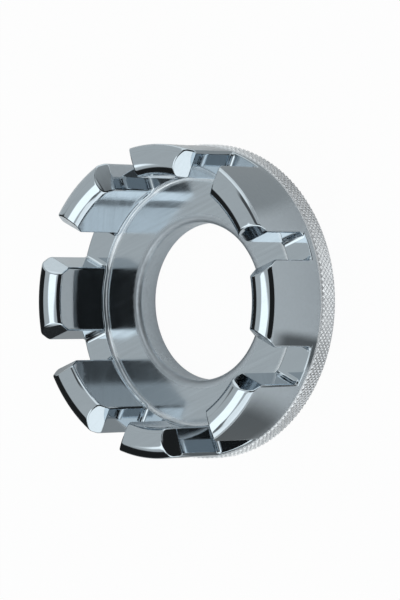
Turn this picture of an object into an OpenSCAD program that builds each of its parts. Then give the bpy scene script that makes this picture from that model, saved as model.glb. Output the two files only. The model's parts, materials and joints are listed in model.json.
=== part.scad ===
// Round spoke key: a knurled ring that carries eight upright claws, with a nipple jaw between
// each pair of claws. It lies on its back face, and its origin is the centre of that face.

/* [Ring] */
// Diameter over the crests of the knurl
rim_d = 36; // [35:0.25:40]
// Width of the web, from the claws' inner faces in to the round hole
web_w = 5.4; // [3.5:0.1:8]
// Thickness of the web round the hole
web_t = 2.5; // [1.5:0.1:2.8]
// Height of the rim, which is the floor of every jaw
rim_h = 2.9; // [2.85:0.05:4]
// Radius of the hole's front lip
front_lip_r = 0.5; // [0.2:0.05:0.8]
// Radius of the hole's back lip
back_lip_r = 0.3; // [0.1:0.05:0.5]

/* [Knurl] */
// Number of diamonds round the band
knurl_count = 170; // [60:10:180]
// Depth of the knurl from crest to groove
knurl_depth = 0.25; // [0.1:0.05:0.3]
// Height of the knurled band
band_h = 2.7; // [1.6:0.1:2.8]
// Wall of the band from its seat on the rim to its crests
band_wall = 0.45; // [0.4:0.05:0.8]
// Size of the bevel at the back of the band
back_bevel = 0.35; // [0.1:0.05:0.4]

/* [Claws] */
// Height of the key, from its back face to the claw tips
key_h = 11.4; // [8:0.2:14]
// Radial thickness of a claw
claw_t = 3.4; // [2.4:0.1:4.2]
// Step from the knurl's crests in to the claws' outer faces
claw_step = 0.2; // [0.1:0.05:0.4]
// Radius of the crown that domes a claw's tip, from its inner face to its outer one
crown_r = 2.4; // [2.2:0.1:6]
// Radius of the shoulders on both sides of the crown
shoulder_r = 0.6; // [0.3:0.05:1]
// Radius of a claw's upright outer edges
edge_outer_r = 0.45; // [0.2:0.05:0.6]
// Radius of a claw's upright inner edges
edge_inner_r = 0.25; // [0.1:0.05:0.4]

/* [Jaws] */
// Width of jaw 1, across the flats of the nipple
jaw_1_w = 3.2; // [3:0.05:5.5]
// Width of jaw 2
jaw_2_w = 3.9; // [3:0.05:5.5]
// Width of jaw 3
jaw_3_w = 3.7; // [3:0.05:5.5]
// Width of jaw 4
jaw_4_w = 4.4; // [3:0.05:5.5]
// Width of jaw 5
jaw_5_w = 3.6; // [3:0.05:5.5]
// Width of jaw 6
jaw_6_w = 3.45; // [3:0.05:5.5]
// Width of jaw 7
jaw_7_w = 5; // [3:0.05:5.5]
// Width of jaw 8
jaw_8_w = 4.5; // [3:0.05:5.5]
// How far a lead-in bevel cuts back along a claw's tip
lead_w = 1.15; // [0.5:0.05:1.6]
// How far a lead-in bevel runs down a jaw's wall
lead_drop = 1.8; // [0.8:0.05:2.4]
// Radius of the fillet along the foot of a jaw's walls
foot_r = 0.6; // [0.3:0.05:0.8]

/* [Hidden] */
$fn = 96;

rim_r = rim_d / 2;
claw_outer_r = rim_r - claw_step;
claw_inner_r = claw_outer_r - claw_t;
hole_r = claw_inner_r - web_w;
band_seat_r = rim_r - band_wall;
groove_r = rim_r - knurl_depth;

// Jaw 1 opens along +X and the rest follow at an even pitch. Jaws 6 and 7 are cut a little early,
// so the claw between them stands off the pitch.
jaw_count = 8;
jaw_pitch = 360 / jaw_count;
jaw_w = [jaw_1_w, jaw_2_w, jaw_3_w, jaw_4_w, jaw_5_w, jaw_6_w, jaw_7_w, jaw_8_w];
jaw_turn = [0, 0, 0, 0, 0, -0.8, -1.2, 0];

// Jaw fillets stop this far short of running out flat, so that no claw has a feather edge at its foot
foot_sink = 0.03;
// Every cut runs past the face that it opens by this much
overrun = 1;
// Straight steps that stand for the arcs over a claw's tip
crown_steps = 12;
shoulder_steps = 5;

chrome = [0.78, 0.80, 0.83];
chrome_dark = [0.62, 0.65, 0.69];

// Half a diamond is one column wide and about as high, so that the diamonds are square
knurl_columns = 2 * knurl_count;
column_w = 2 * PI * rim_r / knurl_columns;
front_bevel = claw_step;
knurl_h = band_h - back_bevel - front_bevel;
knurl_rows = max(2, round(knurl_h / column_w));

function jaw_index(i) = (i + jaw_count) % jaw_count;
function jaw_angle(i) = jaw_pitch * i + jaw_turn[jaw_index(i)];
function polar(r, angle) = [r * cos(angle), r * sin(angle)];

// The web: rounded lips at the hole, and a cove that climbs to the rim's floor at the claws
module web_plate() {
    cove_r = rim_h - web_t;
    color(chrome)
    rotate_extrude() {
        difference() {
            translate([hole_r, 0]) square([web_w, rim_h]);
            translate([hole_r - overrun, web_t])
                square([web_w - cove_r + overrun, cove_r + overrun]);
            translate([claw_inner_r - cove_r, rim_h]) circle(cove_r);
            lip_cut(front_lip_r, web_t, 1);
            lip_cut(back_lip_r, 0, -1);
        }
    }
}

// What a rounded lip of radius r takes off the hole's corner at height z, upwards for side 1
module lip_cut(r, z, side) {
    translate([hole_r, z]) scale([1, side])
    difference() {
        translate([-overrun, -r]) square([r + overrun, r + overrun]);
        translate([r, -r]) circle(r);
    }
}

// The plain ring under the claws, with a shoulder that caps the knurled band
module rim_ring() {
    color(chrome)
    rotate_extrude() {
        translate([claw_inner_r, 0]) square([band_seat_r - claw_inner_r, rim_h]);
        translate([claw_inner_r, band_h]) square([claw_outer_r - claw_inner_r, rim_h - band_h]);
    }
}

// One ring of the band's points at height z, with radius r at even places and r_odd at odd ones
function band_ring(r, r_odd, z, row = 0) = [
    for (i = [0 : knurl_columns - 1])
        let (p = polar((i + row) % 2 == 0 ? r : r_odd, 360 * i / knurl_columns)) [p.x, p.y, z]
];

// The two triangles between column i and the next, from ring a up to ring b. flip turns the
// diagonal, which in the knurl follows the groove between two diamonds.
function band_cell(i, a, b, flip) =
    let (n = knurl_columns, k = (i + 1) % n, p = a * n + i, q = a * n + k, s = b * n + k, t = b * n + i)
    flip ? [[p, t, q], [q, t, s]] : [[p, s, q], [p, t, s]];

// The band: square diamonds in crossed diagonal rows, bevelled at the back and the front
module knurled_band() {
    seat_r = band_seat_r / cos(180 / knurl_columns);
    rings = concat(
        [band_ring(seat_r, seat_r, 0)],
        [band_ring(rim_r - back_bevel, rim_r - back_bevel, 0)],
        [for (j = [0 : knurl_rows])
            band_ring(groove_r, rim_r, back_bevel + knurl_h * j / knurl_rows, j)],
        [band_ring(claw_outer_r, claw_outer_r, band_h)],
        [band_ring(seat_r, seat_r, band_h)]);
    count = len(rings);
    color(chrome_dark)
    polyhedron(
        points = [for (ring = rings) each ring],
        faces = [for (a = [0 : count - 1], i = [0 : knurl_columns - 1])
            each band_cell(i, a, (a + 1) % count, (i + a) % 2 == 1)]);
}

// Points of an arc from start degrees on, up to the end that the next points give
function arc_points(centre, r, start, end, steps) = [
    for (i = [0 : steps - 1]) centre + polar(r, start + (end - start) * i / steps)
];

// Radial section of all the claws: a shoulder arc runs up from each face into the arc of the crown.
// The line through the crown's and a shoulder's centre rises by joint_angle, and the arcs meet on it.
module claw_section() {
    middle_r = claw_inner_r + claw_t / 2;
    shoulder_x = claw_t / 2 - shoulder_r;
    centre_gap = crown_r - shoulder_r;
    joint_angle = acos(shoulder_x / centre_gap);
    crown_z = key_h - crown_r;
    shoulder_z = crown_z + centre_gap * sin(joint_angle);
    polygon(concat(
        [[claw_inner_r, rim_h], [claw_outer_r, rim_h]],
        arc_points([middle_r + shoulder_x, shoulder_z], shoulder_r, 0, joint_angle, shoulder_steps),
        arc_points([middle_r, crown_z], crown_r, joint_angle, 180 - joint_angle, crown_steps),
        arc_points([middle_r - shoulder_x, shoulder_z], shoulder_r, 180 - joint_angle, 180, shoulder_steps),
        [[claw_inner_r, shoulder_z]]));
}

// Section of a jaw of width w: parallel walls, fillets at the foot and lead-in bevels at the mouth
module jaw_section(w) {
    half = w / 2;
    foot_z = rim_h + foot_r - foot_sink;
    bevel_z = key_h - lead_drop;
    bevel_slope = lead_w / lead_drop;
    mouth_z = key_h + overrun;
    mouth = half + bevel_slope * (mouth_z - bevel_z);
    translate([-half, foot_z]) square([w, mouth_z - foot_z]);
    translate([foot_r - half, rim_h - overrun]) square([w - 2 * foot_r, foot_z - rim_h + overrun]);
    for (side = [-1, 1]) translate([side * (half - foot_r), foot_z]) circle(foot_r);
    polygon([[-half, bevel_z], [half, bevel_z], [mouth, mouth_z], [-mouth, mouth_z]]);
}

// Plan of what a round upright edge of radius r takes off a claw, where a jaw's wall at y = half
// meets the claw's face at radius face_r. side is 1 on the outer face and -1 on the inner one.
module edge_plan(half, face_r, r, side) {
    centre_r = face_r - side * r;
    centre = [sqrt(centre_r ^ 2 - (half + r) ^ 2), half + r];
    beyond = centre * (face_r + side * overrun) / centre_r;
    difference() {
        polygon([[centre.x, half - overrun], [beyond.x, half - overrun], beyond, centre]);
        translate(centre) circle(r);
    }
}

// Jaw i as a solid to cut, running out through the rim, with round upright edges on both walls
module jaw_cut(i) {
    w = jaw_w[jaw_index(i)];
    rotate([0, 0, jaw_angle(i)]) {
        rotate([90, 0, 90]) linear_extrude(rim_r + overrun) jaw_section(w);
        for (side = [-1, 1])
            linear_extrude(key_h + overrun) scale([1, side]) {
                edge_plan(w / 2, claw_outer_r, edge_outer_r, 1);
                edge_plan(w / 2, claw_inner_r, edge_inner_r, -1);
            }
    }
}

// Claw n, which stands between jaw n - 1 and jaw n. Claw 1 stands between jaw 8 and jaw 1.
module claw(n) {
    before = n - 2;
    after = n - 1;
    reach = 2 * rim_r;
    start = jaw_angle(before);
    end = jaw_angle(after);
    color(chrome)
    difference() {
        intersection() {
            rotate_extrude() claw_section();
            linear_extrude(key_h + overrun)
                polygon([[0, 0], polar(reach, start), polar(reach, (start + end) / 2), polar(reach, end)]);
        }
        jaw_cut(before);
        jaw_cut(after);
    }
}

web_plate();
rim_ring();
knurled_band();
claw(1);  // claw_1
claw(2);  // claw_2
claw(3);  // claw_3
claw(4);  // claw_4
claw(5);  // claw_5
claw(6);  // claw_6
claw(7);  // claw_7
claw(8);  // claw_8
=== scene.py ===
"""Round spoke key: one chromed forging with a knurled rim and eight upright claws.

It lies on its back face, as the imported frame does. Every length is in metres.
"""

import json
import math

import bmesh
import bpy
from mathutils import Matrix, Vector


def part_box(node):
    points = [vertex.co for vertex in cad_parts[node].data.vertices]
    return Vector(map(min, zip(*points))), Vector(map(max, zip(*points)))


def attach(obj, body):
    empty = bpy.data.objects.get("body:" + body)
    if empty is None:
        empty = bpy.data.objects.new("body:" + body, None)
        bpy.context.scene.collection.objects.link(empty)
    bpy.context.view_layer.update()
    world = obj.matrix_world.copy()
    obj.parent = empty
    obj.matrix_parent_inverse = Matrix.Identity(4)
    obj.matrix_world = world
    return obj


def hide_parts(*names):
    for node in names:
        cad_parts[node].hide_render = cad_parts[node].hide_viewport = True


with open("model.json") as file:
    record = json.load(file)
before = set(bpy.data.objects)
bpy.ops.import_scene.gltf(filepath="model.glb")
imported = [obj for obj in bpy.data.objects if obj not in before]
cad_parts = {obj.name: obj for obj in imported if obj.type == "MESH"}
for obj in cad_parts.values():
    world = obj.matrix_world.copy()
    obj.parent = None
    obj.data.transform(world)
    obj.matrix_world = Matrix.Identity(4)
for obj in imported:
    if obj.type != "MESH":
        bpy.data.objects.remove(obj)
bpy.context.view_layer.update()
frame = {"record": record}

MM = 0.001

# The web and the jaws' floor stand this much higher than in the solids, as the photograph shows them
FLOOR_RISE = 0.5 * MM

# Sizes that the frame gives. A box ends at [1], its high corner.
RIM_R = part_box("knurled_band")[1].x
BAND_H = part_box("knurled_band")[1].z
CLAW_OUTER_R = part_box("rim_ring")[1].x
CLAW_INNER_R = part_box("web_plate")[1].x
RIM_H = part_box("rim_ring")[1].z + FLOOR_RISE
KEY_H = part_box("claw_1")[1].z
MOUNTS = {mount["name"]: mount for mount in frame["record"]["mounts"]}
HOLE_R = MOUNTS["centre_hole"]["dims"]["r_mm"] * MM

# The web, and the edges of the rim. The band sits on a seat that is cut into the rim.
WEB_T = 2.5 * MM + FLOOR_RISE
FRONT_LIP_R = 0.6 * MM
BACK_LIP_R = 0.3 * MM
FLOOR_EDGE_R = 0.08 * MM
RIM_EDGE_R = 0.14 * MM
BAND_SEAT_R = RIM_R - 0.45 * MM

# The knurl: KNURL_COUNT diamonds round the band in KNURL_ROWS half rows, each a crown between flanks
KNURL_COUNT = 172
KNURL_ROWS = 7
KNURL_DEPTH = 0.18 * MM
KNURL_FLANK = 0.1 * MM
KNURL_CROWN = 0.04 * MM
BACK_BEVEL = 0.35 * MM
FRONT_BEVEL = RIM_R - CLAW_OUTER_R

# The claws. A tip is a wide crown arc between two shoulder arcs, with a lead-in bevel at both ends.
CROWN_R = 2.4 * MM
CROWN_STEPS = 12
SHOULDER_R = 0.6 * MM
SHOULDER_STEPS = 6
UPRIGHT_OUTER_R = 0.45 * MM
UPRIGHT_INNER_R = 0.25 * MM
LEAD_W = 1.15 * MM
LEAD_DROP = 1.8 * MM
LEAD_EDGE_R = 0.22 * MM
FOOT_R = 0.6 * MM
EDGE_STEPS = 6
FOOT_STEPS = 8

# A claw is turned in fine steps between two long ones, which leave its bevels clean faces to run on.
# It starts and ends inside a jaw, at END_SHARE of the way from the jaw's middle to its wall.
CLAW_STEPS = 22
END_SHARE = 0.8
END_REACH = 2.0 * MM
END_SLICES = 4

# Jaw widths, from the jaw at +X on anticlockwise, and how far a jaw is turned off the even pitch
JAW_COUNT = 8
JAW_W = [w * MM for w in (3.2, 3.9, 3.7, 4.4, 3.6, 3.45, 5.0, 4.5)]
JAW_TURN = [0, 0, 0, 0, 0, -0.8, -1.2, 0]

# Steps of a turned ring and of an arc, and what counts as one point in a mesh and at a cut
SPIN_STEPS = 160
ARC_STEPS = 8
MERGE = 0.001 * MM
CUT_REACH = 0.0001 * MM

# Edges that turn by more than these degrees stay sharp
SHARP_ANGLE = 40
KNURL_SHARP_ANGLE = 25
CLAW_SHARP_ANGLE = 50

# The chrome: the tint and roughness of the plate and of places on it, and how strong its marks are. The
# tints of the lip, the cove, the knurl and its grooves paint light and shade onto the plate, as told at
# each.
PLATE_TINT = (0.54, 0.592, 0.635)
# The lip's tint, darker than the plate's, is painted shade that dims the lip's reflection
LIP_SHADE_TINT = (0.42, 0.45, 0.48)
# The cove's tint, lighter than the plate's, is a painted highlight along the cove
COVE_HIGHLIGHT_TINT = (0.78, 0.81, 0.84)
# The knurl's near-white tint, far lighter than the plate's, is a painted sheen of the light that its
# facets catch
KNURL_SHEEN_TINT = (0.98, 0.98, 0.99)
# The grooves' tint, darker than the crests', is painted shade in the grooves
GROOVE_SHADE_TINT = (0.84, 0.85, 0.87)
PLATE_ROUGHNESS = 0.05
WEB_ROUGHNESS = 0.13
LIP_ROUGHNESS = 0.5
HOLE_ROUGHNESS = 0.3
COVE_ROUGHNESS = 0.4
KNURL_ROUGHNESS = 0.48
GROOVE_ROUGHNESS = 0.55
PLATE_MARKS = 0.1
WEB_MARKS = 0.25

# How far the cove's painted highlight, its lighter tint, reaches in from the claws
COVE_W = 0.8 * MM

# The chrome's marks run along the belt's way. These are the sizes of its marks, waves and dull patches,
# per metre, then the depth of a mark as a share of BUMP_DEPTH.
BELT_ALONG = 90
BELT_ACROSS = 2600
WAVE_SCALE = 260
PATCH_SCALE = 420
MARK_DEPTH_SHARE = 0.05
BUMP_DEPTH = 0.01 * MM

# The camera of the photograph, with its lens and sensor in millimetres, and its shift in pixels of a
# picture PICTURE_H pixels high
CAMERA_AZIMUTH = -20.6
CAMERA_ELEVATION = 49.5
CAMERA_DISTANCE = 460.1 * MM
CAMERA_LENS = 240
SENSOR_H = 36
CLIP_START = 0.05
CLIP_END = 10
CAMERA_SHIFT_X = -15.3
CAMERA_SHIFT_Y = 1.3
PICTURE_H = 600

# The studio. FLOOR_SEEN and FLOOR_MIRRORED are how much of the floor glows white for the camera and
# in the metal. The rest of it is paper that takes the key's shadow.
FLOOR_SIZE = 4
FLOOR_SEEN = 0.96
FLOOR_MIRRORED = 0.15
PAPER = (0.8, 0.8, 0.8)
PAPER_ROUGHNESS = 0.9
WHITE = (1, 1, 1)
ROOM = (0.80, 0.82, 0.84)

# The tint of every panel and sheet, the distance of the farthest panel, and the step to the next
ROOM_TINT = (0.94, 0.99, 1.0)
TENT_R = 0.62
PANEL_GAP = 0.01
PANEL_STEPS = 12

# How far the floor lies under the key, and how far each sheet lies over the one before
FLOOR_GAP = 0.02 * MM
SHEET_Z = 0.1 * MM

# Panels round the key, the farthest first: name, azimuth from the camera's, elevation, width and
# height in degrees, brightness, and the share of its size over which its edges run out
PANELS = (
    ("room_left", 180, 35, 184, 150, 0.6, 0.02),
    ("room_right", 0, 35, 184, 150, 0.6, 0.02),
    ("room_top", 0, 90, 120, 120, 0.6, 0.1),
    ("overhead_light", -132, 71, 40, 62, 1.7, 0.12),
    ("left_light", -70, 12, 72, 60, 1.4, 0.06),
    ("upper_left_light", -70, 44, 44, 22, 1.3, 0.1),
    ("light_gap", -104, 46, 9, 14, 0.2, 0.25),
    ("right_light", 88, 4, 58, 56, 1.2, 0.1),
    ("right_cloth", 58, 45, 38, 20, 0.1, 0.15),
    ("camera_cloth", 2, 36, 56, 62, 0.02, 0.06),
    ("upper_camera_cloth", 0, 60, 42, 16, 0.02, 0.15),
    ("low_camera_cloth", 18, 14, 44, 18, 0.02, 0.12),
    ("back_cloth", -150, 4, 84, 62, 0.02, 0.06),
)

# Sheets on the floor, which only the metal shows: name, azimuth from the camera's, width in degrees,
# inner and outer radius, brightness and edge share. Those beside the key are its painted shadow on the
# floor, and the last is a painted pool of the right light on it.
SHEETS = (
    # The first four sheets are the key's painted shadow on the floor round it
    ("back_painted_shadow", -132, 106, 19 * MM, 34 * MM, 0.36, 0.08),
    ("right_painted_shadow", 64, 50, 18 * MM, 29 * MM, 0.38, 0.2),
    ("left_painted_shadow", -72, 60, 17.5 * MM, 27 * MM, 0.16, 0.3),
    ("near_painted_shadow", -21, 18, 17.5 * MM, 27 * MM, 0.15, 0.3),
    ("dark_sheet", -150, 84, 31 * MM, 560 * MM, 0.03, 0.08),
    # A painted pool of the right light on the floor, glowing though it is no lamp
    ("painted_right_light_pool", 86, 62, 27 * MM, 560 * MM, 1.0, 0.06),
)


def jaw_angle(i):
    """Direction of jaw i, in radians. i may run on past the last jaw."""
    return math.radians(360 / JAW_COUNT * i + JAW_TURN[i % JAW_COUNT])


def make_active(obj):
    bpy.ops.object.select_all(action="DESELECT")
    obj.select_set(True)
    bpy.context.view_layer.objects.active = obj


def start_editing(obj):
    make_active(obj)
    bpy.ops.object.mode_set(mode="EDIT")
    bpy.ops.mesh.select_mode(type="VERT")
    bpy.ops.mesh.select_all(action="SELECT")


def stop_editing():
    bpy.ops.object.mode_set(mode="OBJECT")


def face_outwards():
    bpy.ops.mesh.select_all(action="SELECT")
    bpy.ops.mesh.normals_make_consistent(inside=False)


def tidy_mesh():
    """Merges what lies on one point, and turns all faces outwards."""
    bpy.ops.mesh.select_all(action="SELECT")
    bpy.ops.mesh.remove_doubles(threshold=MERGE)
    face_outwards()


def apply(obj, kind, **settings):
    """Adds a modifier of that kind to obj, with its settings, and applies it."""
    modifier = obj.modifiers.new(kind.title(), kind)
    for name, value in settings.items():
        setattr(modifier, name, value)
    make_active(obj)
    bpy.ops.object.modifier_apply(modifier=modifier.name)


def arc(centre, r, start, end, steps=ARC_STEPS):
    """Points of an arc in a section, from start to end degrees, as (radius, height)."""
    points = []
    for i in range(steps + 1):
        a = math.radians(start + (end - start) * i / steps)
        points.append((centre[0] + r * math.cos(a), centre[1] + r * math.sin(a)))
    return points


def new_piece(name, points, edges=(), faces=()):
    mesh = bpy.data.meshes.new(name)
    mesh.from_pydata([tuple(p) for p in points], list(edges), list(faces))
    obj = bpy.data.objects.new(name, mesh)
    bpy.context.scene.collection.objects.link(obj)
    return obj


def turned(name, section):
    """A ring turned about Z from a closed section of (radius, height) points."""
    count = len(section)
    points = [(r, 0, z) for r, z in section]
    obj = new_piece(name, points, [(i, (i + 1) % count) for i in range(count)])
    start_editing(obj)
    bpy.ops.mesh.spin(steps=SPIN_STEPS, angle=math.tau, center=(0, 0, 0), axis=(0, 0, 1))
    tidy_mesh()
    stop_editing()
    return obj


def smooth(obj, angle=SHARP_ANGLE):
    """Shades obj smooth but for edges sharper than the angle, and keeps its flat faces flat."""
    make_active(obj)
    bpy.ops.object.shade_smooth_by_angle(angle=math.radians(angle))
    apply(obj, "WEIGHTED_NORMAL", weight=100, keep_sharp=True)


def make_web():
    """The web round the hole, with round lips and the cove that climbs to the jaws' floor."""
    cove_r = RIM_H - FLOOR_EDGE_R - WEB_T
    section = arc((HOLE_R + BACK_LIP_R, BACK_LIP_R), BACK_LIP_R, 180, 270)
    section += [(CLAW_INNER_R, 0)]
    section += arc((CLAW_INNER_R - cove_r, WEB_T + cove_r), cove_r, 0, -90)
    section += arc((HOLE_R + FRONT_LIP_R, WEB_T - FRONT_LIP_R), FRONT_LIP_R, 90, 180)
    return turned("web", section)


def make_rim():
    """The ring under the claws. Its top is the floor of every jaw."""
    section = [(CLAW_INNER_R, 0), (BAND_SEAT_R, 0), (BAND_SEAT_R, BAND_H), (CLAW_OUTER_R, BAND_H)]
    section += arc((CLAW_OUTER_R - RIM_EDGE_R, RIM_H - RIM_EDGE_R), RIM_EDGE_R, 0, 90)
    section += arc((CLAW_INNER_R + FLOOR_EDGE_R, RIM_H - FLOOR_EDGE_R), FLOOR_EDGE_R, 90, 180)
    return turned("rim", section)


def make_band():
    """The knurled grip: diamonds between crossed grooves, with bevels at the front and back."""
    columns = 2 * KNURL_COUNT
    row_h = (BAND_H - BACK_BEVEL - FRONT_BEVEL) / KNURL_ROWS
    groove_r = RIM_R - KNURL_DEPTH
    points = []
    for row in range(KNURL_ROWS + 1):
        for column in range(columns):
            a = math.tau * column / columns
            z = BACK_BEVEL + row_h * row
            points.append((groove_r * math.cos(a), groove_r * math.sin(a), z))
    faces = []
    for row in range(-1, KNURL_ROWS):
        for column in range((row + 1) % 2, columns, 2):
            around = ((column, row), (column + 1, row + 1), (column, row + 2), (column - 1, row + 1))
            corners = [r * columns + c % columns for c, r in around if 0 <= r <= KNURL_ROWS]
            faces.append(corners)
    obj = new_piece("knurl", points, faces=faces)
    start_editing(obj)
    face_outwards()
    bpy.ops.mesh.select_mode(type="FACE")
    bpy.ops.mesh.select_all(action="SELECT")
    bpy.ops.mesh.inset(thickness=KNURL_FLANK, depth=KNURL_DEPTH - KNURL_CROWN, use_individual=True)
    bpy.ops.mesh.inset(thickness=KNURL_CROWN, depth=KNURL_CROWN, use_individual=True)
    bpy.ops.mesh.select_mode(type="EDGE")
    close_band(BAND_H, CLAW_OUTER_R, BAND_H - FRONT_BEVEL)
    close_band(0, RIM_R - BACK_BEVEL, BACK_BEVEL)
    bpy.ops.mesh.select_all(action="DESELECT")
    pick_edges(obj, lambda edge: edge.is_boundary)
    bpy.ops.mesh.bridge_edge_loops()
    tidy_mesh()
    stop_editing()
    return obj


def pick_edges(obj, test):
    """Selects the edges of the piece in edit mode that pass the test."""
    mesh = bmesh.from_edit_mesh(obj.data)
    for edge in mesh.edges:
        edge.select_set(bool(test(edge)))
    mesh.select_flush_mode()
    bmesh.update_edit_mesh(obj.data)


def close_band(end_z, end_r, loop_z):
    """Draws the band's open edge at height loop_z over its bevel to end_z, then in to its seat."""
    obj = bpy.context.edit_object
    start_r = RIM_R - KNURL_DEPTH
    level = [(Vector((0, 0, 1)), loop_z)]
    pick_edges(obj, lambda edge: edge.is_boundary and on_any(edge, level))
    for r, z in ((end_r, end_z), (BAND_SEAT_R, end_z)):
        bpy.ops.mesh.extrude_region_move()
        share = r / start_r
        bpy.ops.transform.resize(value=(share, share, 1), center_override=(0, 0, 0))
        mesh = bmesh.from_edit_mesh(obj.data)
        rise = z - next(v.co.z for v in mesh.verts if v.select)
        bpy.ops.transform.translate(value=(0, 0, rise))
        start_r = r


def cut(place, outward):
    """Cuts the piece in edit mode at a plane, takes off its outward side and closes the cut."""
    bpy.ops.mesh.select_all(action="SELECT")
    bpy.ops.mesh.bisect(plane_co=place, plane_no=outward.normalized(), use_fill=True, clear_outer=True,
                        threshold=CUT_REACH)


def slice_at(place, normal):
    """Adds a loop to the piece in edit mode, where the plane at that place crosses it."""
    bpy.ops.mesh.select_all(action="SELECT")
    bpy.ops.mesh.bisect(plane_co=place, plane_no=normal, threshold=CUT_REACH)


def claw_walls(n):
    """The two jaw walls of claw n, as (outward direction, distance from the axis)."""
    before, after = jaw_angle(n - 2), jaw_angle(n - 1)
    return [
        (Vector((math.sin(before), -math.cos(before), 0)), -JAW_W[(n - 2) % JAW_COUNT] / 2),
        (Vector((-math.sin(after), math.cos(after), 0)), -JAW_W[n - 1] / 2),
    ]


def claw_ends(n):
    """Polar angles at both ends of claw n: past the wall, just inside it, and where fine steps start."""
    ends = []
    for jaw, way in ((n - 2, 1), (n - 1, -1)):
        half = JAW_W[jaw % JAW_COUNT] / 2
        past = math.asin(half / CLAW_OUTER_R) * END_SHARE
        inside = math.asin(half / CLAW_INNER_R)
        ends.append([
            jaw_angle(jaw) + way * past,
            jaw_angle(jaw) + way * (inside + UPRIGHT_INNER_R / CLAW_INNER_R),
            jaw_angle(jaw) + way * (inside + END_REACH / CLAW_INNER_R),
        ])
    return ends


def claw_section():
    """Section of the claws as (radius, height), up the outer face, over the tip and down again."""
    middle = (CLAW_INNER_R + CLAW_OUTER_R) / 2
    reach = CLAW_OUTER_R - SHOULDER_R - middle
    rise = math.acos(reach / (CROWN_R - SHOULDER_R))
    crown_z = KEY_H - CROWN_R
    shoulder_z = crown_z + (CROWN_R - SHOULDER_R) * math.sin(rise)
    joint = math.degrees(rise)
    section = [(CLAW_INNER_R, BAND_H), (CLAW_OUTER_R, BAND_H)]
    section += arc((middle + reach, shoulder_z), SHOULDER_R, 0, joint, SHOULDER_STEPS)
    section += arc((middle, crown_z), CROWN_R, joint, 180 - joint, CROWN_STEPS)[1:-1]
    section += arc((middle - reach, shoulder_z), SHOULDER_R, 180 - joint, 180, SHOULDER_STEPS)
    return section


def make_claw(n):
    """Claw n: its section turned between two jaws, cut to their walls and lead-ins, with round edges."""
    walls = claw_walls(n)
    ends = claw_ends(n)
    (start, _, fine_start), (end, _, fine_end) = ends
    turn = Matrix.Rotation(start, 4, "Z")
    points = [turn @ Vector((r, 0, z)) for r, z in claw_section()]
    count = len(points)
    obj = new_piece(f"claw_{n}_body", points, [(i, (i + 1) % count) for i in range(count)])
    start_editing(obj)
    turns = ((fine_start - start, 1), (fine_end - fine_start, CLAW_STEPS), (end - fine_end, 1))
    for angle, steps in turns:
        bpy.ops.mesh.spin(steps=steps, angle=-angle, center=(0, 0, 0), axis=(0, 0, 1))
    tidy_mesh()
    for outward, distance in walls:
        cut(outward * distance, outward)
    face_outwards()
    stop_editing()
    round_edges(obj, lambda edge: upright_offset(edge, walls))
    leads = []
    start_editing(obj)
    for outward, distance in walls:
        foot = outward * distance + Vector((0, 0, KEY_H - LEAD_DROP))
        slope = (outward * LEAD_DROP + Vector((0, 0, LEAD_W))).normalized()
        cut(foot, slope)
        leads.append((slope, foot.dot(slope)))
    face_outwards()
    stop_editing()
    round_edges(obj, lambda edge: lead_offset(edge, leads))
    bend_ends(obj, ends)
    flare_foot(obj, walls)
    return obj


def round_edges(obj, offset_of):
    """Rounds each edge of obj by the offset that offset_of gives for it, which is 0 for most."""
    mesh = bmesh.new()
    mesh.from_mesh(obj.data)
    weight = mesh.edges.layers.float.get("bevel_weight_edge")
    if weight is None:
        weight = mesh.edges.layers.float.new("bevel_weight_edge")
    offsets = [offset_of(edge) for edge in mesh.edges]
    widest = max(offsets)
    for edge, offset in zip(mesh.edges, offsets):
        edge[weight] = offset / widest
    mesh.to_mesh(obj.data)
    mesh.free()
    apply(obj, "BEVEL", width=widest, segments=EDGE_STEPS, limit_method="WEIGHT",
          use_clamp_overlap=False, profile=0.5)


def on_any(edge, planes):
    """Whether the edge lies on one of the planes, each given as (direction, distance)."""
    return any(all(abs(v.co.dot(out) - d) < MERGE for v in edge.verts) for out, d in planes)


def upright_offset(edge, walls):
    """What rounds the outline of a jaw wall: more at the outer face than at the inner one."""
    a, b = (v.co for v in edge.verts)
    if not on_any(edge, walls) or max(a.z, b.z) < BAND_H + MERGE:
        return 0
    middle = (a + b) / 2
    share = (math.hypot(middle.x, middle.y) - CLAW_INNER_R) / (CLAW_OUTER_R - CLAW_INNER_R)
    return UPRIGHT_INNER_R + (UPRIGHT_OUTER_R - UPRIGHT_INNER_R) * min(1, max(0, share))


def lead_offset(edge, leads):
    """What gives the outline of a lead-in bevel the same radius wherever its faces meet."""
    if not on_any(edge, leads):
        return 0
    return LEAD_EDGE_R * math.tan(edge.calc_face_angle(0) / 2)


def bend_ends(obj, ends):
    """Slices the long steps at both ends of a claw, and draws the slices out onto its round faces."""
    start_editing(obj)
    for _, inside, fine in ends:
        for i in range(END_SLICES):
            a = inside + (fine - inside) * i / END_SLICES
            slice_at((0, 0, 0), (-math.sin(a), math.cos(a), 0))
    stop_editing()
    for v in obj.data.vertices:
        for past, _, fine in ends:
            middle, half = (past + fine) / 2, abs(past - fine) / 2
            off = math.remainder(math.atan2(v.co.y, v.co.x) - middle, math.tau)
            if abs(off) < half:
                grow = math.cos(off) / math.cos(half)
                v.co.x *= grow
                v.co.y *= grow


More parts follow.
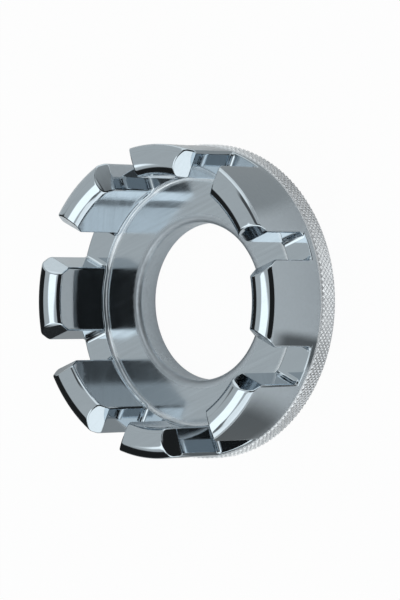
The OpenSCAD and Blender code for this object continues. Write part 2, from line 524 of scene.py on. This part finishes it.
def flare_foot(obj, walls):
    """Draws the foot of both jaw walls out in a fillet that runs flat into the jaw's floor."""
    start_editing(obj)
    for i in range(FOOT_STEPS + 1):
        a = math.pi / 2 * i / FOOT_STEPS
        slice_at((0, 0, RIM_H + FOOT_R * (1 - math.cos(a))), (0, 0, 1))
    stop_editing()
    mesh = bmesh.new()
    mesh.from_mesh(obj.data)
    mesh.normal_update()
    moves = []
    for v in mesh.verts:
        rise = v.co.z - RIM_H
        if rise > FOOT_R:
            continue
        level = 1 - max(rise, 0) / FOOT_R
        reach = FOOT_R * (1 - math.sqrt(1 - level * level))
        side = Vector((v.normal.x, v.normal.y, 0)).normalized()
        for outward, _ in walls:
            share = max(0, side.dot(outward))
            moves.append((v, outward * reach * share))
    for v, move in moves:
        v.co += move
    mesh.to_mesh(obj.data)
    mesh.free()


def math_node(nodes, links, operation, *inputs):
    """A Math node on the inputs, each a value or another node's output."""
    node = nodes.new("ShaderNodeMath")
    node.operation = operation
    for socket, value in zip(node.inputs, inputs):
        if isinstance(value, (int, float)):
            socket.default_value = value
        else:
            links.new(value, socket)
    return node.outputs[0]


def noise_node(nodes, links, vector, scale, detail):
    node = nodes.new("ShaderNodeTexNoise")
    node.inputs["Scale"].default_value = scale
    node.inputs["Detail"].default_value = detail
    links.new(vector, node.inputs["Vector"])
    return node.outputs["Fac"]


def ramp_node(nodes, links, value):
    """A Map Range node from 0 to 1 with soft ends on the value, which another node gives."""
    node = nodes.new("ShaderNodeMapRange")
    node.interpolation_type = "SMOOTHSTEP"
    links.new(value, node.inputs["Value"])
    return node


def mix_values(nodes, links, kind, share, start, end):
    """A Mix node from start, a value or another node's output, to the value end."""
    node = nodes.new("ShaderNodeMix")
    node.data_type = kind
    factor, a, b = [socket for socket in node.inputs if socket.enabled]
    links.new(share, factor)
    b.default_value = end
    if isinstance(start, bpy.types.NodeSocket):
        links.new(start, a)
    else:
        a.default_value = start
    return [socket for socket in node.outputs if socket.enabled][0]


def mix_shaders(nodes, links, share, first, second):
    """A shader that is first where share is 0, and second where it is 1."""
    node = nodes.new("ShaderNodeMixShader")
    for output, socket in zip((share, first, second), node.inputs):
        links.new(output, socket)
    return node.outputs[0]


def new_group(name, inputs, outputs):
    """A node group with the input Vector, the named number inputs and outputs, and its two end nodes."""
    group = bpy.data.node_groups.new(name, "ShaderNodeTree")
    group.interface.new_socket("Vector", in_out="INPUT", socket_type="NodeSocketVector")
    for socket in inputs:
        group.interface.new_socket(socket, in_out="INPUT", socket_type="NodeSocketFloat")
    for socket in outputs:
        group.interface.new_socket(socket, in_out="OUTPUT", socket_type="NodeSocketFloat")
    return group, group.nodes.new("NodeGroupInput"), group.nodes.new("NodeGroupOutput")


def polish_group():
    """Polished plate: broad soft waves, fine marks along the belt's way and patches that are duller."""
    inputs, outputs = ("Roughness", "Marks", "Waves"), ("Roughness", "Height", "Shade")
    group, source, sink = new_group("polish", inputs, outputs)
    nodes, links = group.nodes, group.links
    belt = nodes.new("ShaderNodeMapping")
    belt.inputs["Rotation"].default_value = (0, 0, -math.radians(CAMERA_AZIMUTH))
    belt.inputs["Scale"].default_value = (BELT_ALONG, BELT_ACROSS, BELT_ACROSS)
    links.new(source.outputs["Vector"], belt.inputs["Vector"])
    marks = noise_node(nodes, links, belt.outputs[0], scale=1, detail=3)
    waves = noise_node(nodes, links, source.outputs["Vector"], WAVE_SCALE, detail=1)
    patches = noise_node(nodes, links, source.outputs["Vector"], PATCH_SCALE, detail=2)
    off_marks = math_node(nodes, links, "SUBTRACT", marks, 0.5)
    deep = math_node(nodes, links, "MULTIPLY", off_marks, source.outputs["Marks"])
    broad = math_node(nodes, links, "MULTIPLY", waves, source.outputs["Waves"])
    uneven = math_node(nodes, links, "ADD", patches, 0.5)
    dull = math_node(nodes, links, "MULTIPLY", source.outputs["Roughness"], uneven)
    rough = math_node(nodes, links, "ABSOLUTE", deep)
    low = math_node(nodes, links, "MULTIPLY", deep, MARK_DEPTH_SHARE)
    links.new(math_node(nodes, links, "ADD", dull, rough), sink.inputs["Roughness"])
    links.new(math_node(nodes, links, "ADD", broad, low), sink.inputs["Height"])
    links.new(math_node(nodes, links, "ADD", 1, deep), sink.inputs["Shade"])
    return group


def reach_group():
    """How near a point lies to a circle round the key's axis: 1 at the radius Full and 0 at None."""
    group, source, sink = new_group("reach", ("Full", "None"), ("Share",))
    nodes, links = group.nodes, group.links
    flat = nodes.new("ShaderNodeVectorMath")
    flat.operation = "MULTIPLY"
    flat.inputs[1].default_value = (1, 1, 0)
    links.new(source.outputs["Vector"], flat.inputs[0])
    length = nodes.new("ShaderNodeVectorMath")
    length.operation = "LENGTH"
    links.new(flat.outputs[0], length.inputs[0])
    ramp = ramp_node(nodes, links, length.outputs["Value"])
    links.new(source.outputs["None"], ramp.inputs["From Min"])
    links.new(source.outputs["Full"], ramp.inputs["From Max"])
    links.new(ramp.outputs[0], sink.inputs["Share"])
    return group


def chrome(name, groups, tint, roughness, marks, waves, bands=()):
    """Chrome plate. A band's tint and roughness hold at its first radius and fade out to its second."""
    material = bpy.data.materials.new(name)
    material.use_nodes = True
    nodes, links = material.node_tree.nodes, material.node_tree.links
    shader = nodes["Principled BSDF"]
    shader.inputs["Metallic"].default_value = 1
    place = nodes.new("ShaderNodeTexCoord").outputs["Object"]
    polish = nodes.new("ShaderNodeGroup")
    polish.node_tree = groups["polish"]
    links.new(place, polish.inputs["Vector"])
    polish.inputs["Marks"].default_value = marks
    polish.inputs["Waves"].default_value = waves
    polish.inputs["Roughness"].default_value = roughness
    shade = nodes.new("ShaderNodeVectorMath")
    shade.operation = "SCALE"
    shade.inputs[0].default_value = tint
    last_tint, last_roughness = (*tint, 1), roughness
    for band_tint, band_roughness, full_r, none_r in bands:
        reach = nodes.new("ShaderNodeGroup")
        reach.node_tree = groups["reach"]
        links.new(place, reach.inputs["Vector"])
        reach.inputs["Full"].default_value = full_r
        reach.inputs["None"].default_value = none_r
        share = reach.outputs["Share"]
        last_tint = mix_values(nodes, links, "RGBA", share, last_tint, (*band_tint, 1))
        last_roughness = mix_values(nodes, links, "FLOAT", share, last_roughness, band_roughness)
    if bands:
        links.new(last_tint, shade.inputs[0])
        links.new(last_roughness, polish.inputs["Roughness"])
    links.new(polish.outputs["Shade"], shade.inputs["Scale"])
    links.new(shade.outputs[0], shader.inputs["Base Color"])
    links.new(polish.outputs["Roughness"], shader.inputs["Roughness"])
    bump = nodes.new("ShaderNodeBump")
    bump.inputs["Strength"].default_value = 1
    bump.inputs["Distance"].default_value = BUMP_DEPTH
    links.new(polish.outputs["Height"], bump.inputs["Height"])
    links.new(bump.outputs[0], shader.inputs["Normal"])
    return material


def finish_piece(obj, material, slot, *nodes):
    obj.data.materials.append(material)
    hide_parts(*nodes)
    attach(obj, "root")


groups = {"polish": polish_group(), "reach": reach_group()}
plate = chrome("bright_chrome", groups, PLATE_TINT, PLATE_ROUGHNESS, PLATE_MARKS, waves=1)
web_bands = (
    # The lip's darker tint: painted shade. Its roughness is the real duller finish.
    (LIP_SHADE_TINT, LIP_ROUGHNESS, HOLE_R + FRONT_LIP_R, HOLE_R + 2 * FRONT_LIP_R),
    (PLATE_TINT, HOLE_ROUGHNESS, HOLE_R, HOLE_R + FRONT_LIP_R / 3),
    # The cove's lighter tint: a painted highlight, with a rougher finish
    (COVE_HIGHLIGHT_TINT, COVE_ROUGHNESS, CLAW_INNER_R - COVE_W / 4, CLAW_INNER_R - COVE_W),
)
web_plate = chrome("web_chrome", groups, PLATE_TINT, WEB_ROUGHNESS, WEB_MARKS, waves=1, bands=web_bands)
# The grooves' darker tint is painted shade in them, with a rougher finish
grooves = (
    (GROOVE_SHADE_TINT, GROOVE_ROUGHNESS, RIM_R - KNURL_DEPTH, RIM_R - KNURL_CROWN),
)
# The knurl's chrome carries a painted sheen in its near-white tint
knurl_sheen_plate = chrome(
    "knurl_chrome", groups, KNURL_SHEEN_TINT, KNURL_ROUGHNESS, PLATE_MARKS, waves=0, bands=grooves)

web = make_web()
smooth(web)
finish_piece(web, web_plate, "chrome", "web_plate")
rim = make_rim()
smooth(rim)
finish_piece(rim, plate, "chrome", "rim_ring")
band = make_band()
smooth(band, KNURL_SHARP_ANGLE)
finish_piece(band, knurl_sheen_plate, "knurl_chrome", "knurled_band")
for n in range(1, JAW_COUNT + 1):
    claw = make_claw(n)
    smooth(claw, CLAW_SHARP_ANGLE)
    finish_piece(claw, plate, "chrome", f"claw_{n}")


def make_camera():
    """The camera of the photograph: it leans so that the key's axis lies level in the picture."""
    azimuth, elevation = math.radians(CAMERA_AZIMUTH), math.radians(CAMERA_ELEVATION)
    level = Vector((math.cos(azimuth), math.sin(azimuth), 0))
    back = level * math.cos(elevation) + Vector((0, 0, math.sin(elevation)))
    right = (level - back * level.dot(back)).normalized()
    up = back.cross(right)
    data = bpy.data.cameras.new("camera")
    data.sensor_fit = "VERTICAL"
    data.sensor_height = SENSOR_H
    data.lens = CAMERA_LENS
    data.shift_x = CAMERA_SHIFT_X / PICTURE_H
    data.shift_y = CAMERA_SHIFT_Y / PICTURE_H
    data.clip_start = CLIP_START
    data.clip_end = CLIP_END
    camera = bpy.data.objects.new("camera", data)
    bpy.context.scene.collection.objects.link(camera)
    axes = Matrix((right, up, back)).transposed().to_4x4()
    camera.matrix_world = Matrix.Translation(back * CAMERA_DISTANCE) @ axes
    bpy.context.scene.camera = camera


def shown_share(nodes, links, seen, mirrored):
    """The value seen for the camera's rays, mirrored for those off metal or through glass, else 0."""
    light_path = nodes.new("ShaderNodeLightPath")
    metal_or_glass = math_node(nodes, links, "MAXIMUM", light_path.outputs["Is Glossy Ray"],
                               light_path.outputs["Is Transmission Ray"])
    reflected = math_node(nodes, links, "MULTIPLY", metal_or_glass, mirrored)
    direct = math_node(nodes, links, "MULTIPLY", light_path.outputs["Is Camera Ray"], seen)
    return math_node(nodes, links, "MAXIMUM", direct, reflected)


def make_floor():
    """A white floor that shows as the white background, keeps a soft shadow and is clear from below."""
    bpy.ops.object.select_all(action="DESELECT")
    bpy.ops.mesh.primitive_plane_add(size=FLOOR_SIZE, location=(0, 0, -FLOOR_GAP))
    floor = bpy.context.object
    floor.name = "floor"
    material = bpy.data.materials.new("floor")
    material.use_nodes = True
    nodes, links = material.node_tree.nodes, material.node_tree.links
    paper = nodes["Principled BSDF"]
    paper.inputs["Base Color"].default_value = (*PAPER, 1)
    paper.inputs["Roughness"].default_value = PAPER_ROUGHNESS
    glow = nodes.new("ShaderNodeEmission")
    glow.inputs["Color"].default_value = (*WHITE, 1)
    side = nodes.new("ShaderNodeNewGeometry")
    clear = nodes.new("ShaderNodeBsdfTransparent")
    share = shown_share(nodes, links, FLOOR_SEEN, FLOOR_MIRRORED)
    top = mix_shaders(nodes, links, share, paper.outputs[0], glow.outputs[0])
    both = mix_shaders(nodes, links, side.outputs["Backfacing"], top, clear.outputs[0])
    links.new(both, nodes["Material Output"].inputs["Surface"])
    floor.data.materials.append(material)


def make_world():
    """A pale room that the camera, metal and glass see as white."""
    world = bpy.data.worlds.new("studio")
    bpy.context.scene.world = world
    world.use_nodes = True
    nodes, links = world.node_tree.nodes, world.node_tree.links
    room = nodes["Background"]
    room.inputs["Color"].default_value = (*ROOM, 1)
    room.inputs["Strength"].default_value = 1
    white = nodes.new("ShaderNodeBackground")
    white.inputs["Color"].default_value = (*WHITE, 1)
    share = shown_share(nodes, links, 1, 1)
    sky = mix_shaders(nodes, links, share, room.outputs[0], white.outputs[0])
    links.new(sky, nodes["World Output"].inputs["Surface"])


def soft_edge_group():
    """A mask that is 1 in the middle of a panel and runs out to 0 at its edges."""
    group, source, sink = new_group("soft_edge", ("Width",), ("Mask",))
    nodes, links = group.nodes, group.links
    split = nodes.new("ShaderNodeSeparateXYZ")
    links.new(source.outputs["Vector"], split.inputs[0])
    sides = []
    for axis in ("X", "Y"):
        from_middle = math_node(nodes, links, "SUBTRACT", split.outputs[axis], 0.5)
        off = math_node(nodes, links, "ABSOLUTE", from_middle)
        ramp = ramp_node(nodes, links, math_node(nodes, links, "SUBTRACT", 0.5, off))
        links.new(source.outputs["Width"], ramp.inputs["From Max"])
        sides.append(ramp.outputs[0])
    links.new(math_node(nodes, links, "MULTIPLY", *sides), sink.inputs["Mask"])
    return group


def panel_material(name, strength, edge, group):
    """A glow that runs out to clear at the panel's edges."""
    material = bpy.data.materials.new(name)
    material.use_nodes = True
    nodes, links = material.node_tree.nodes, material.node_tree.links
    nodes.remove(nodes["Principled BSDF"])
    glow = nodes.new("ShaderNodeEmission")
    glow.inputs["Color"].default_value = (*ROOM_TINT, 1)
    glow.inputs["Strength"].default_value = strength
    clear = nodes.new("ShaderNodeBsdfTransparent")
    place = nodes.new("ShaderNodeTexCoord")
    mask = nodes.new("ShaderNodeGroup")
    mask.node_tree = group
    mask.inputs["Width"].default_value = edge
    links.new(place.outputs["UV"], mask.inputs["Vector"])
    surface = mix_shaders(nodes, links, mask.outputs["Mask"], clear.outputs[0], glow.outputs[0])
    links.new(surface, nodes["Material Output"].inputs["Surface"])
    return material


def bent_grid(name, place, strength, edge, group):
    """A glowing grid that the camera doesn't see. place gives its points, from -0.5 to 0.5 both ways."""
    bpy.ops.object.select_all(action="DESELECT")
    bpy.ops.mesh.primitive_grid_add(x_subdivisions=PANEL_STEPS, y_subdivisions=PANEL_STEPS, size=1)
    grid = bpy.context.object
    grid.name = name
    for v in grid.data.vertices:
        v.co = place(v.co.x, v.co.y)
    grid.data.materials.append(panel_material(name, strength, edge, group))
    grid.visible_camera = False
    return grid


def make_panel(name, azimuth, elevation, width, height, strength, edge, distance, group):
    """A curved panel that faces the key. Its place and size are in degrees, seen from the key."""
    turn = Matrix.Rotation(math.radians(azimuth + CAMERA_AZIMUTH), 4, "Z")
    aim = turn @ Matrix.Rotation(-math.radians(elevation), 4, "Y")

    def place(across, up):
        a, b = math.radians(across * width), math.radians(up * height)
        towards = Vector((math.cos(b) * math.cos(a), math.cos(b) * math.sin(a), math.sin(b)))
        return aim @ towards * distance

    panel = bent_grid(name, place, strength, edge, group)


def make_sheet(name, azimuth, width, inner, outer, strength, edge, height, group):
    """A sheet on the floor, between two radii. Only the metal sees it, and it casts no shadow."""

    def place(across, up):
        a = math.radians(azimuth + CAMERA_AZIMUTH + across * width)
        r = inner * (outer / inner) ** (up + 0.5)
        return r * math.cos(a), r * math.sin(a), height

    sheet = bent_grid(name, place, strength, edge, group)
    sheet.visible_diffuse = False
    sheet.visible_shadow = False


def make_tent():
    """The panels round the key and the sheets on the floor, each a little nearer than the one before."""
    group = soft_edge_group()
    for i, (name, azimuth, width, inner, outer, strength, edge) in enumerate(SHEETS):
        make_sheet(name, azimuth, width, inner, outer, strength, edge, SHEET_Z * (i + 1), group)
    for i, (name, azimuth, elevation, width, height, strength, edge) in enumerate(PANELS):
        make_panel(name, azimuth, elevation, width, height, strength, edge, TENT_R - i * PANEL_GAP, group)


make_camera()
make_floor()
make_world()
make_tent()
bpy.context.scene.view_settings.view_transform = "Standard"
